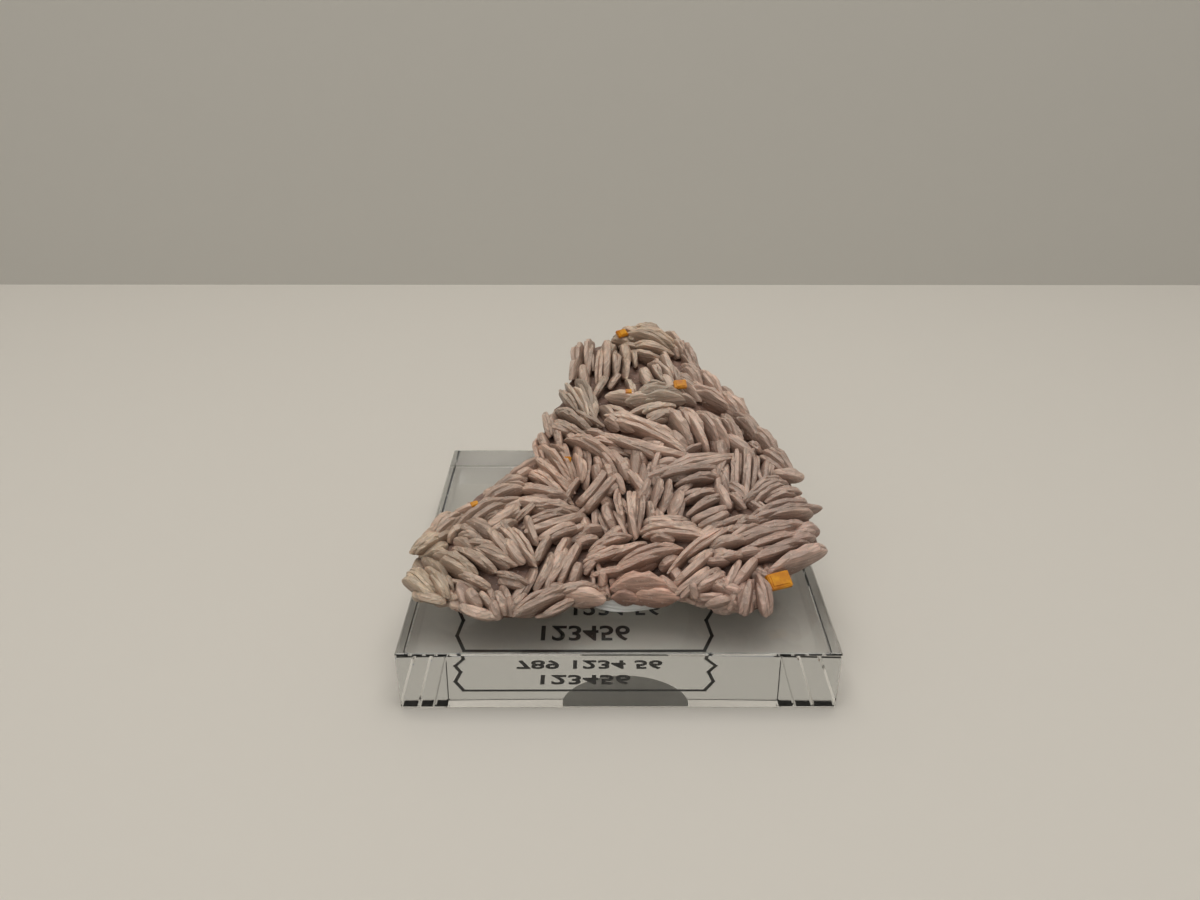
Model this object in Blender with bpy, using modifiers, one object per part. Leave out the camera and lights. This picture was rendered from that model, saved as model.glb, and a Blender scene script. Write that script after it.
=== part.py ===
"""A cluster of bladed barite with small wulfenite crystals, held by putty on a clear square base.

Metres, +Z up. The origin is the centre of the base's underside, and -Y is the front.
"""

import math
import random

import bmesh
import bpy
from mathutils import Matrix, Vector, noise

MM = 0.001

# The base: a clear slab, 2 in square and 5/16 in high, with a printed label let in underneath
BASE_SIDE = 50.8 * MM
BASE_HEIGHT = 7.94 * MM
BASE_EDGE = 0.35 * MM
LABEL_WIDTH = 35.0 * MM
LABEL_DEPTH = 20.0 * MM
LABEL_THICKNESS = 0.12 * MM
LABEL_CENTRE = Vector((-4.0 * MM, -12.0 * MM, 0.0))

# The gap kept between pieces that touch
GAP = 0.3 * MM

# The putty: a pressed oval pad under the front middle of the cluster
PUTTY_REACH = (8.5 * MM, 9.7 * MM)
PUTTY_HEIGHT = 1.5 * MM
PUTTY_ROUND = 0.6 * MM
PUTTY_ROUND_STEPS = 3
PUTTY_SIDES = 24
PUTTY_CENTRE = Vector((1.2 * MM, -8.2 * MM, BASE_HEIGHT + GAP))

# The cluster's face: a tilted plane that starts low at the front, with u to the right and v up the slope
FACE_TILT = math.radians(21.5)
FACE_FOOT = Vector((0.0, -21.9 * MM, 9.5 * MM))
FACE_U = Vector((1.0, 0.0, 0.0))
FACE_V = Vector((0.0, math.cos(FACE_TILT), math.sin(FACE_TILT)))
FACE_NORMAL = FACE_U.cross(FACE_V)
VIEWPOINT = Vector((-2.5, -110.2, 77.0)) * MM

# The lobes that swell out of the face, and the hollow between them: u, v, reach and height in mm
SWELLS = (
    (-14.5, 9.5, 9.0, 1.6),
    (15.5, 12.0, 9.5, 1.8),
    (4.0, 34.0, 11.0, 2.2),
    (-2.5, 14.0, 4.5, -2.0),
)

# The cluster's outline on the face in mm, counter-clockwise from the right tip
OUTLINE = (
    (26.0, 11.0), (24.8, 16.4), (23.8, 21.6), (21.6, 27.4), (18.0, 34.2),
    (15.0, 39.8), (12.2, 46.0), (8.4, 50.4), (4.6, 52.7), (0.8, 50.0),
    (-4.8, 47.8), (-6.2, 41.8), (-9.0, 35.4), (-10.8, 28.8), (-13.2, 22.4),
    (-18.0, 19.2), (-23.6, 14.2), (-26.3, 7.8), (-25.4, 3.2), (-17.4, 0.4),
    (-10.4, 0.2), (-4.6, 2.4), (1.8, 2.9), (8.0, 3.0), (13.4, 0.8),
    (18.4, 1.2), (18.6, 5.4), (22.8, 8.4),
)

# The core: rings of that outline drawn in towards its middle, each as the share of the way out
# and the share of the way up from the underside to the face
CORE_MIDDLE = (0.5, 19.0)
CLUSTER_LOWEST = BASE_HEIGHT + 0.9 * MM
CORE_INSET = 0.6
CORE_SINK = 1.2
CORE_LEAST = 1.6
CORE_RINGS = ((0.55, 1.0), (0.97, 1.0), (1.0, 0.55), (0.85, 0.0))
CORE_FLOOR = ((-24.0, 10.6), (-16.0, 9.9), (3.0, 10.1), (32.0, 18.5))
CORE_ROUGHNESS = 0.7
CORE_LUMP = 4.0
CORE_SEED = 4

# A blade's shape: a six-sided tablet with a flat rim, fullest in its middle
BLADE_SEED = 2
BLADE_SIDES = 6
BLADE_LAYERS = 3
BLADE_RIM_SHARE = 0.55
BLADE_UNEVEN = 0.16
BLADE_SHOULDER = 0.7
BLADE_CREST = math.sin(math.radians(60.0))
BLADE_HUB = 0.01
BLADE_LEAN_TO_RIGHT = 0.5
BLADE_HEIGHT_SHARE = 0.5
BLADE_HEIGHT_LEAST = 2.8
BLADE_HEIGHT_MOST = 4.4
BLADE_SINK = 0.2

# The blades on the face. Each is its two ends in mm on the face (u, v, u, v), its thickness
# in mm, and its lean in degrees, positive where the crest leans up the slope or to the right.
LEFT_LOBE = (
    (-12.6, 23.8, -5.5, 17.9, 1.3, 5),
    (-11.6, 25.9, -5.6, 19.0, 1.2, 10),
    (-10.6, 27.6, -5.2, 20.2, 1.2, 15),
    (-9.0, 28.2, -4.8, 20.8, 1.1, 20),
    (-7.6, 27.4, -5.6, 21.6, 1.1, 15),
    (-5.3, 26.4, -4.2, 21.0, 1.4, 25),
    (-4.7, 16.8, -1.6, 22.6, 0.85, 0),
    (-3.9, 16.3, -0.3, 21.8, 0.8, 0),
    (-12.4, 20.3, -6.0, 18.4, 1.3, 15),
    (-12.2, 17.2, -4.0, 16.4, 1.5, 20),
    (-12.4, 14.3, -3.9, 15.6, 1.2, 15),
    (-11.4, 13.2, -4.4, 15.0, 0.9, 5),
    (-9.9, 12.3, -4.9, 14.2, 0.8, 0),
    (-15.9, 14.3, -12.2, 17.1, 0.9, 5),
    (-19.6, 14.2, -13.0, 18.4, 1.8, 20),
    (-18.2, 17.0, -11.8, 20.3, 1.5, 25),
    (-16.4, 19.4, -11.4, 22.2, 1.4, 30),
    (-14.4, 14.2, -10.2, 8.2, 1.7, 15),
    (-16.5, 13.8, -12.6, 9.0, 1.3, 10),
    (-17.6, 11.0, -11.6, 7.7, 1.3, 5),
    (-20.6, 11.2, -14.6, 7.2, 1.3, 5),
    (-15.0, 7.3, -10.7, 5.5, 1.0, 0),
    (-22.4, 9.9, -17.2, 6.6, 1.9, 20),
    (-19.4, 7.2, -15.2, 4.9, 1.2, 0),
    (-20.0, 13.0, -15.6, 11.2, 1.2, 15),
    (-10.2, 8.3, -8.1, 12.7, 1.2, -10),
    (-9.7, 4.2, -7.9, 10.2, 1.4, 10),
    (-8.7, 3.9, -6.3, 11.2, 1.3, 5),
    (-7.2, 5.6, -4.5, 11.6, 0.9, 5),
    (-16.5, 4.5, -14.4, 1.8, 1.0, 0),
    (-14.7, 4.8, -12.8, 0.9, 1.1, 5),
    (-18.7, 2.2, -13.6, 0.7, 1.4, -15),
    (-12.1, 0.6, -5.6, 4.3, 1.6, 10),
    (-8.6, 3.8, -2.2, 5.0, 1.3, 10),
    (-9.6, 0.6, -4.6, 3.2, 1.1, -5),
    (-22.8, 7.6, -20.0, 3.6, 1.6, 20),
    (-25.6, 7.2, -21.2, 3.2, 2.2, 10),
    (-25.4, 9.6, -22.0, 12.8, 1.9, 10),
    (-22.8, 12.8, -19.8, 16.0, 1.7, 20),
    (-24.8, 4.4, -20.2, 2.9, 1.5, -20),
)
RIGHT_LOBE = (
    (2.2, 13.0, 11.6, 12.7, 1.9, 15),
    (-4.3, 8.6, 2.2, 10.8, 1.1, 5),
    (-1.3, 7.0, 8.0, 10.4, 1.7, 12),
    (-3.8, 10.1, 2.2, 12.8, 1.1, 10),
    (-3.6, 6.6, 1.6, 7.6, 1.0, 0),
    (-2.0, 4.1, 6.9, 3.8, 1.5, 45),
    (0.2, 20.4, 0.8, 13.2, 1.0, -10),
    (1.9, 20.8, 2.2, 11.8, 1.3, 0),
    (-1.5, 17.6, -0.5, 13.4, 0.9, -15),
    (3.2, 19.6, 2.9, 12.6, 1.0, 10),
    (4.0, 18.6, 4.4, 14.8, 1.0, 15),
    (4.7, 16.0, 5.6, 22.2, 1.2, 20),
    (5.8, 15.8, 7.0, 21.6, 1.2, 25),
    (7.0, 15.7, 8.4, 19.6, 0.9, 20),
    (7.4, 20.6, 13.6, 22.2, 1.1, 5),
    (3.2, 20.8, 16.4, 25.6, 2.1, 20),
    (8.0, 17.6, 13.2, 20.0, 1.0, 10),
    (8.6, 15.9, 14.0, 18.7, 1.2, 10),
    (9.4, 14.6, 14.2, 17.2, 0.9, 0),
    (10.4, 13.8, 14.0, 16.0, 0.8, 0),
    (13.0, 20.6, 14.6, 16.6, 0.8, 10),
    (14.2, 19.6, 16.4, 16.9, 1.0, 10),
    (18.0, 28.4, 16.2, 17.9, 1.2, 0),
    (16.6, 27.6, 15.2, 19.4, 1.2, -10),
    (14.0, 23.8, 14.6, 18.9, 1.0, -10),
    (18.8, 26.2, 17.4, 19.2, 1.1, 10),
    (20.1, 25.2, 18.9, 19.9, 1.3, 20),
    (20.0, 22.7, 24.9, 22.2, 1.5, 15),
    (16.3, 17.8, 22.6, 21.2, 2.2, 25),
    (19.0, 18.6, 24.2, 19.4, 1.6, 20),
    (16.1, 14.9, 25.2, 16.4, 2.0, 20),
    (14.2, 11.7, 24.4, 14.4, 1.9, 12),
    (14.4, 10.3, 25.2, 13.4, 1.0, 0),
    (15.6, 8.9, 24.0, 11.6, 1.3, 5),
    (17.6, 7.2, 26.2, 10.8, 1.5, 10),
    (11.2, 10.8, 16.0, 12.2, 1.4, 15),
    (11.6, 9.2, 15.4, 9.6, 1.3, 10),
    (13.6, 4.7, 17.2, 9.6, 0.9, 0),
    (12.3, 4.0, 15.0, 8.8, 1.1, 0),
    (14.4, 0.9, 15.9, 6.4, 1.5, -5),
    (17.5, 0.8, 16.9, 6.8, 1.7, 5),
    (6.2, 7.6, 15.5, 14.9, 1.2, 5),
    (8.8, 4.2, 13.0, 7.0, 0.8, 5),
    (10.0, 2.4, 14.0, 3.6, 1.3, 0),
    (2.9, 26.8, 2.3, 22.0, 0.8, 0),
    (0.6, 25.2, 1.6, 21.6, 0.9, 0),
)
TOP_LOBE = (
    (-2.0, 33.6, 10.0, 26.7, 2.1, 15),
    (-2.0, 29.7, 8.2, 25.3, 0.9, 0),
    (-0.6, 28.4, 6.2, 25.4, 0.8, -5),
    (-6.9, 29.0, 0.5, 24.6, 1.8, 15),
    (-5.7, 41.4, -2.3, 30.8, 1.4, 15),
    (-7.1, 39.7, -3.1, 31.8, 1.1, 10),
    (-8.4, 38.5, -4.8, 33.6, 1.0, 5),
    (-8.3, 34.2, -2.4, 29.0, 1.4, 10),
    (-8.8, 32.6, -3.6, 28.6, 1.0, 0),
    (-9.8, 34.4, -8.8, 28.9, 1.3, -10),
    (-8.4, 30.6, -6.8, 25.4, 1.2, 0),
    (-10.4, 30.4, -9.2, 26.6, 1.3, -15),
    (-5.3, 41.4, -5.0, 48.2, 1.3, -20),
    (-3.8, 41.0, -3.4, 48.4, 1.4, -5),
    (-2.4, 39.4, -1.8, 47.4, 1.1, 0),
    (-1.2, 40.8, -1.2, 47.6, 0.9, 10),
    (-3.2, 36.4, -0.8, 41.4, 1.1, 10),
    (0.4, 40.4, 0.2, 46.4, 1.1, 10),
    (1.8, 40.2, 1.6, 44.8, 1.0, 15),
    (1.4, 50.4, 9.2, 46.2, 2.2, 30),
    (2.4, 47.6, 8.8, 45.4, 1.4, 10),
    (6.6, 45.6, 8.6, 40.8, 1.2, 20),
    (5.4, 43.6, 7.0, 40.2, 1.0, 10),
    (0.7, 35.6, 10.0, 36.6, 1.5, 42),
    (3.6, 33.9, 8.6, 35.4, 1.1, 10),
    (7.2, 35.0, 10.4, 27.2, 1.5, 20),
    (9.6, 35.0, 12.4, 26.7, 1.4, 15),
    (11.4, 34.0, 15.2, 27.0, 1.9, 30),
    (14.6, 33.4, 16.6, 28.6, 1.6, 25),
    (10.8, 38.6, 16.4, 34.2, 1.8, 30),
    (9.8, 43.6, 12.6, 38.4, 1.8, 30),
    (10.2, 47.4, 11.9, 41.6, 1.7, 20),
    (12.2, 42.2, 15.0, 36.4, 1.8, 30),
    (14.9, 37.8, 18.4, 32.0, 1.9, 30),
    (16.6, 33.6, 19.7, 28.6, 1.8, 30),
    (18.4, 31.0, 21.8, 25.4, 1.9, 25),
    (20.0, 27.2, 23.2, 22.4, 1.7, 20),
    (1.0, 51.2, 4.8, 49.6, 1.3, 10),
    (3.4, 51.8, 7.4, 50.2, 1.8, 10),
    (8.6, 48.8, 10.8, 45.2, 1.4, 20),
)

# Smaller blades between those on the face, which follow the nearest of them
FACE_FILL_SEED = 3
FACE_FILL_COUNT = 6
FACE_FILL_SHARE = (0.1, 0.92)
FACE_FILL_LENGTH = (3.0, 5.5)
FACE_FILL_THICKNESS = (1.0, 1.5)
FACE_FILL_SHIFT_U = 1.5
FACE_FILL_SHIFT_V = 1.0
FACE_FILL_TURN = 0.35
FACE_FILL_LEAN = 20.0

# Smaller blades round the rim, the sides and the back, seated on the core at a share of its way
# out and one of these shares of its height, and pointing away from a point under its middle
SIDE_FILL_SEED = 5
SIDE_FILL_COUNT = 26
SIDE_FILL_LENGTH = (3.5, 6.0)
SIDE_FILL_THICKNESS = (0.9, 1.6)
SIDE_FILL_HEIGHT_SHARE = 0.6
SIDE_FILL_SEAT = 0.96
SIDE_FILL_RISES = (0.4, 0.6, 0.8)
SIDE_FILL_SHIFT = 0.3
SIDE_FILL_SWEEP = 0.9
SIDE_FILL_DEPTH = 6.0

# The wulfenite tablets: u, v and height above the face in mm, side and thickness in mm,
# and the directions of the tablet's face, as turn and tip in degrees
WULFENITES = {
    "wulfenite_large": (19.3, 5.9, -0.6, 3.0, 0.9, 20, 30),
    "wulfenite_upper": (9.4, 39.3, 0.9, 1.8, 0.8, 10, 40),
    "wulfenite_small": (2.0, 37.9, 1.2, 0.9, 0.4, 0, 40),
    "wulfenite_left": (-18.1, 17.6, 1.2, 1.0, 0.5, 30, 30),
    "wulfenite_middle": (-6.4, 25.2, 0.7, 1.0, 0.5, -20, 60),
    "wulfenite_apex": (1.3, 50.2, 0.8, 1.7, 0.7, 35, 30),
}
WULFENITE_WIDTH_SHARE = 0.7
WULFENITE_CHAMFER = 0.22


def clear_scene():
    for old in list(bpy.data.objects):
        bpy.data.objects.remove(old)


def new_collection(name):
    made = bpy.data.collections.new(name)
    bpy.context.scene.collection.children.link(made)
    return made


def material(name, colour, roughness, transmission=0.0):
    made = bpy.data.materials.new(name)
    made.use_nodes = True
    shader = made.node_tree.nodes["Principled BSDF"]
    shader.inputs["Base Color"].default_value = (*colour, 1.0)
    shader.inputs["Roughness"].default_value = roughness
    shader.inputs["Transmission Weight"].default_value = transmission
    return made


def mesh_object(name, shape, collection, finish=None, helper=False):
    """An object made from a bmesh, which is used up. A helper is left out of the model."""
    mesh = bpy.data.meshes.new(name)
    shape.to_mesh(mesh)
    shape.free()
    made = bpy.data.objects.new(name, mesh)
    collection.objects.link(made)
    if finish:
        mesh.materials.append(finish)
    if helper:
        made.hide_render = True
        made.display_type = "WIRE"
    return made


def boolean(target, operation, collection):
    step = target.modifiers.new(operation.title(), "BOOLEAN")
    step.operation = operation
    step.solver = "EXACT"
    step.operand_type = "COLLECTION"
    step.collection = collection


def swell(u, v):
    """Height of the face above its plane at u, v, in mm."""
    total = 0.0
    for centre_u, centre_v, reach, height in SWELLS:
        away = math.hypot(u - centre_u, v - centre_v) / reach
        total += height * math.exp(-away * away)
    return total


def face_point(u, v, height=0.0):
    """The point at u, v on the swollen face, in metres, raised along the line of sight."""
    flat = FACE_FOOT + (FACE_U * u + FACE_V * v) * MM
    sight = VIEWPOINT - flat
    return flat + sight * ((swell(u, v) + height) * MM / sight.dot(FACE_NORMAL))


def turned_out(along, out):
    """The direction nearest to out that is square to along."""
    return (out - along * out.dot(along)).normalized()


def blade_shape(length, height, thickness, dice):
    """An uneven tablet: X is its length, Z its height, and Y its thickness."""
    shape = bmesh.new()
    bmesh.ops.create_uvsphere(
        shape, u_segments=BLADE_SIDES, v_segments=BLADE_LAYERS, radius=1.0
    )
    longer = dice.uniform(1 - BLADE_UNEVEN, 1 + BLADE_UNEVEN)
    taller = dice.uniform(1 - BLADE_UNEVEN, 1)
    for vertex in shape.verts:
        x, z, side = vertex.co
        angle = math.atan2(z, x)
        on_axis = math.hypot(x, z) < BLADE_HUB
        reach = 0.0 if on_axis else 1.0
        fullness = 1.0 if on_axis else BLADE_RIM_SHARE
        shoulder = longer if abs(x) < BLADE_SHOULDER * math.hypot(x, z) else 1.0
        rise = taller if x > 0 else 1.0
        vertex.co = (
            reach * math.cos(angle) * shoulder * length / 2,
            math.copysign(fullness * thickness / 2, side),
            reach * math.sin(angle) * rise * height / 2 / BLADE_CREST,
        )
    bmesh.ops.recalc_face_normals(shape, faces=shape.faces)
    return shape


def placed(shape, centre, along, out):
    """Moves a blade's shape so that its X runs along and its Z points out, clear of the base."""
    side = out.cross(along)
    turn = Matrix((along, side, out)).transposed().to_4x4()
    shape.transform(Matrix.Translation(centre) @ turn)
    lowest = min(vertex.co.z for vertex in shape.verts)
    lift = max(0.0, CLUSTER_LOWEST - lowest)
    shape.transform(Matrix.Translation((0.0, 0.0, lift)))
    return shape


def face_blade(row, dice):
    """The shape of one blade laid on the face."""
    u1, v1, u2, v2, thickness, lean = row
    start = face_point(u1, v1)
    end = face_point(u2, v2)
    along = (end - start).normalized()
    length = (end - start).length
    height = min(max(BLADE_HEIGHT_SHARE * length, BLADE_HEIGHT_LEAST * MM), BLADE_HEIGHT_MOST * MM)
    middle = (start + end) / 2
    sight = (VIEWPOINT - middle).normalized()
    out = turned_out(along, FACE_NORMAL + sight)
    across = along.cross(out)
    if across.dot(FACE_V + FACE_U * BLADE_LEAN_TO_RIGHT) < 0:
        across = -across
    angle = math.radians(lean)
    out = (out * math.cos(angle) + across * math.sin(angle)).normalized()
    centre = middle - sight * BLADE_SINK * height
    return placed(blade_shape(length, height, thickness * MM, dice), centre, along, out)


def core_floor(y):
    """Height of the core's underside at y, in metres."""
    (y0, z0), (y1, z1) = CORE_FLOOR[:2]
    for (ya, za), (yb, zb) in zip(CORE_FLOOR, CORE_FLOOR[1:]):
        if ya * MM <= y:
            y0, z0, y1, z1 = ya, za, yb, zb
    share = min(1.0, max(0.0, (y / MM - y0) / (y1 - y0)))
    return (z0 * (1 - share) + z1 * share) * MM


def core_point(corner, out, up):
    """A point of the core, the share out on the way to a corner of the outline, and up from its floor."""
    spoke_u, spoke_v = corner[0] - CORE_MIDDLE[0], corner[1] - CORE_MIDDLE[1]
    reach = math.hypot(spoke_u, spoke_v)
    share = out * (reach - CORE_INSET) / reach
    top = face_point(CORE_MIDDLE[0] + share * spoke_u, CORE_MIDDLE[1] + share * spoke_v, -CORE_SINK)
    floor = min(core_floor(top.y), top.z - CORE_LEAST * MM)
    point = Vector((top.x, top.y, floor + (top.z - floor) * up))
    return point + noise.noise_vector(point / (CORE_LUMP * MM)) * CORE_ROUGHNESS * MM


def core_shape():
    """The rock that the blades grow from: the outline's rings, closed at the middle of face and underside."""
    noise.seed_set(CORE_SEED)
    shape = bmesh.new()
    rings = [
        [shape.verts.new(core_point(corner, out, up)) for corner in OUTLINE]
        for out, up in CORE_RINGS
    ]
    for ring, following in zip(rings, rings[1:]):
        for here in range(len(OUTLINE)):
            there = (here + 1) % len(OUTLINE)
            shape.faces.new((ring[here], following[here], following[there], ring[there]))
    for ring, up in ((rings[0], 1.0), (rings[-1], 0.0)):
        hub = shape.verts.new(core_point(OUTLINE[0], 0.0, up))
        for here in range(len(OUTLINE)):
            there = (here + 1) % len(OUTLINE)
            shape.faces.new((ring[here], ring[there], hub))
    bmesh.ops.recalc_face_normals(shape, faces=shape.faces)
    return shape


def face_fill(rows):
    """Rows for smaller blades between the given ones, each along its nearest neighbour."""
    dice = random.Random(FACE_FILL_SEED)
    extra = []
    for _ in range(FACE_FILL_COUNT):
        corner = dice.choice(OUTLINE)
        share = dice.uniform(*FACE_FILL_SHARE) ** 0.5
        u = CORE_MIDDLE[0] + share * (corner[0] - CORE_MIDDLE[0])
        v = CORE_MIDDLE[1] + share * (corner[1] - CORE_MIDDLE[1])
        u += dice.uniform(-FACE_FILL_SHIFT_U, FACE_FILL_SHIFT_U)
        v += dice.uniform(-FACE_FILL_SHIFT_V, FACE_FILL_SHIFT_V)
        near = min(rows, key=lambda row: math.hypot((row[0] + row[2]) / 2 - u, (row[1] + row[3]) / 2 - v))
        angle = math.atan2(near[3] - near[1], near[2] - near[0])
        angle += dice.uniform(-FACE_FILL_TURN, FACE_FILL_TURN)
        half = dice.uniform(*FACE_FILL_LENGTH) / 2
        across, up = half * math.cos(angle), half * math.sin(angle)
        thickness = dice.uniform(*FACE_FILL_THICKNESS)
        lean = near[5] + dice.uniform(-FACE_FILL_LEAN, FACE_FILL_LEAN)
        extra.append((u - across, v - up, u + across, v + up, thickness, lean))
    return extra


def side_fill():
    """Shapes of the smaller blades round the rim, which point outwards."""
    dice = random.Random(SIDE_FILL_SEED)
    middle = face_point(*CORE_MIDDLE, -SIDE_FILL_DEPTH)
    shapes = []
    for number in range(SIDE_FILL_COUNT):
        shift = dice.uniform(-SIDE_FILL_SHIFT, SIDE_FILL_SHIFT)
        place = (number + shift) * len(OUTLINE) / SIDE_FILL_COUNT
        first = OUTLINE[int(place) % len(OUTLINE)]
        second = OUTLINE[(int(place) + 1) % len(OUTLINE)]
        share = place - math.floor(place)
        corner = (
            first[0] * (1 - share) + second[0] * share,
            first[1] * (1 - share) + second[1] * share,
        )
        seat = core_point(corner, SIDE_FILL_SEAT, dice.choice(SIDE_FILL_RISES))
        out = (seat - middle).normalized()
        sweep = Vector((-out.y, out.x, dice.uniform(-SIDE_FILL_SWEEP, SIDE_FILL_SWEEP)))
        length = dice.uniform(*SIDE_FILL_LENGTH) * MM
        thickness = dice.uniform(*SIDE_FILL_THICKNESS) * MM
        height = SIDE_FILL_HEIGHT_SHARE * length
        shapes.append(
            placed(blade_shape(length, height, thickness, dice), seat, turned_out(out, sweep), out)
        )
    return shapes


def tablet_shape(side, thickness):
    """An oblong tablet with chamfered edges, as wulfenite grows."""
    shape = bmesh.new()
    bmesh.ops.create_cube(shape, size=1.0)
    for vertex in shape.verts:
        vertex.co = (
            vertex.co.x * side,
            vertex.co.y * side * WULFENITE_WIDTH_SHARE,
            vertex.co.z * thickness,
        )
    bmesh.ops.bevel(
        shape,
        geom=shape.edges[:],
        offset=WULFENITE_CHAMFER * thickness,
        segments=1,
        affect="EDGES",
    )
    return shape


def wulfenite(name, row, collection, finish, clearance=0.0, helper=False):
    u, v, height, side, thickness, turn, tip = row
    shape = tablet_shape(side * MM + 2 * clearance, thickness * MM + 2 * clearance)
    made = mesh_object(name, shape, collection, finish, helper)
    made.location = face_point(u, v, height)
    made.rotation_euler = (math.radians(tip), 0.0, math.radians(turn))
    return made


def box_shape(width, depth, height):
    shape = bmesh.new()
    bmesh.ops.create_cube(shape, size=1.0)
    bmesh.ops.scale(shape, vec=(width, depth, height), verts=shape.verts)
    return shape


def base_slab(collection):
    finish = material("clear_acrylic", (0.93, 0.95, 0.94), 0.02, 1.0)
    shape = box_shape(BASE_SIDE, BASE_SIDE, BASE_HEIGHT)
    slab = mesh_object("base_slab", shape, collection, finish)
    slab.location = (0.0, 0.0, BASE_HEIGHT / 2)
    bevel = slab.modifiers.new("Edges", "BEVEL")
    bevel.width = BASE_EDGE
    bevel.segments = 1
    bevel.limit_method = "ANGLE"
    recesses = new_collection("slab_cutters")
    room = box_shape(
        LABEL_WIDTH + 2 * GAP, LABEL_DEPTH + 2 * GAP, 2 * (LABEL_THICKNESS + GAP)
    )
    cutter = mesh_object("label_recess", room, recesses, helper=True)
    cutter.location = LABEL_CENTRE
    boolean(slab, "DIFFERENCE", recesses)
    return slab


def label(collection):
    finish = material("label_film", (0.85, 0.85, 0.83), 0.4)
    shape = box_shape(LABEL_WIDTH, LABEL_DEPTH, LABEL_THICKNESS)
    film = mesh_object("label", shape, collection, finish)
    film.location = LABEL_CENTRE + Vector((0.0, 0.0, LABEL_THICKNESS / 2))
    return film


def putty_pad(name, collection, finish=None, clearance=0.0, helper=False):
    """The pad: an oval disc, rounded at its upper edge."""
    height = PUTTY_HEIGHT + clearance
    shape = bmesh.new()
    bmesh.ops.create_cone(
        shape, cap_ends=True, segments=PUTTY_SIDES, radius1=1.0, radius2=1.0, depth=height
    )
    across, along = (reach + clearance for reach in PUTTY_REACH)
    bmesh.ops.scale(shape, vec=(across, along, 1.0), verts=shape.verts)
    upper_rim = [edge for edge in shape.edges if all(vertex.co.z > 0 for vertex in edge.verts)]
    bmesh.ops.bevel(
        shape,
        geom=upper_rim,
        offset=PUTTY_ROUND,
        segments=PUTTY_ROUND_STEPS,
        profile=0.5,
        affect="EDGES",
    )
    pad = mesh_object(name, shape, collection, finish, helper)
    pad.location = PUTTY_CENTRE + Vector((0.0, 0.0, height / 2))
    return pad


def barite(collection):
    """Core and blades joined in one solid, with a seat for the putty and for each wulfenite."""
    finish = material("barite", (0.52, 0.39, 0.34), 0.45)
    cluster = mesh_object("barite_cluster", core_shape(), collection, finish)
    crystals = new_collection("crystals")
    rows = LEFT_LOBE + RIGHT_LOBE + TOP_LOBE
    rows += tuple(face_fill(rows))
    dice = random.Random(BLADE_SEED)
    shapes = [face_blade(row, dice) for row in rows] + side_fill()
    for number, shape in enumerate(shapes):
        mesh_object(f"crystal_{number:03d}", shape, crystals, helper=True)
    boolean(cluster, "UNION", crystals)
    seats = new_collection("cluster_cutters")
    putty_pad("putty_seat", seats, clearance=GAP, helper=True)
    for name, row in WULFENITES.items():
        wulfenite(f"{name}_seat", row, seats, None, GAP, helper=True)
    boolean(cluster, "DIFFERENCE", seats)
    return cluster


def build():
    clear_scene()
    pieces = new_collection("barite_specimen")
    base_slab(pieces)
    label(pieces)
    putty_pad("putty", pieces, material("putty", (0.86, 0.86, 0.84), 0.55))
    orange = material("wulfenite", (0.85, 0.34, 0.02), 0.2)
    for name, row in WULFENITES.items():
        wulfenite(name, row, pieces, orange)
    barite(pieces)


build()
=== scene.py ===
"""The looks of a bladed barite cluster with small wulfenite crystals on a clear square base.

Metres, +Z up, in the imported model's frame. The cluster's face is laid out in millimetres on a tilted
plane, with u to the right and v up the slope.
"""

import math
import random

import bmesh
import bpy
import numpy as np
from mathutils import Matrix, Vector, noise


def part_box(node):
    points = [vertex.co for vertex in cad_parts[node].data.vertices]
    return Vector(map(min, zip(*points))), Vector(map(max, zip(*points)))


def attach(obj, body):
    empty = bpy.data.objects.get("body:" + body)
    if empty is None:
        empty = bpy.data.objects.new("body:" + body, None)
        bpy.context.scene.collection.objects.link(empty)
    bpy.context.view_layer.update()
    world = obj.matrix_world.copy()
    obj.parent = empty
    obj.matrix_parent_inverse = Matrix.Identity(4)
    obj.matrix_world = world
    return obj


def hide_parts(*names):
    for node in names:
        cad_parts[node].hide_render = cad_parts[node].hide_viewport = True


MM = 0.001

# The base and the putty, whose profile is shares of its reach and heights in mm
BASE_EDGE = 0.25 * MM
PUTTY_SEED = 6
PUTTY_SIDES = 96
PUTTY_PROFILE = (
    (0.6, -0.02), (0.95, -0.02), (0.985, 0.1), (0.99, 0.3), (0.965, 0.38),
    (0.985, 0.5), (0.98, 0.7), (0.95, 0.78), (0.97, 0.95), (0.955, 1.2),
    (0.92, 1.4), (0.85, 1.6), (0.6, 1.9),
)
PUTTY_WAVES_AROUND = 2.0
PUTTY_WAVES_UP = 3.0
PUTTY_WAVE_OUT = 0.025
PUTTY_WAVE_LIFT = 0.06

# The label's print: a frame line with wavy ends and two rows of plain digits, read from below.
# The frame's corners are in mm. A row is its digits, their size and the place of their middle.
PRINT_LOW = 0.02 * MM
PRINT_THICKNESS = 0.03 * MM
PRINT_LINE = 0.42 * MM
PRINT_FRAME = (
    (-18.4, -20.0), (10.4, -20.0), (11.6, -17.2), (11.2, -14.2), (12.2, -12.2), (11.2, -10.0),
    (11.6, -7.0), (10.4, -4.2), (-18.4, -4.2), (-19.6, -7.0), (-19.2, -10.0), (-20.0, -12.2),
    (-19.2, -14.2), (-19.6, -17.2),
)
PRINT_BOLD = 0.07 * MM
PRINT_ROWS = (
    ("123456", 3.9, (-4.2, -16.5)),
    ("789 1234 56", 3.6, (-3.4, -11.7)),
)

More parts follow.
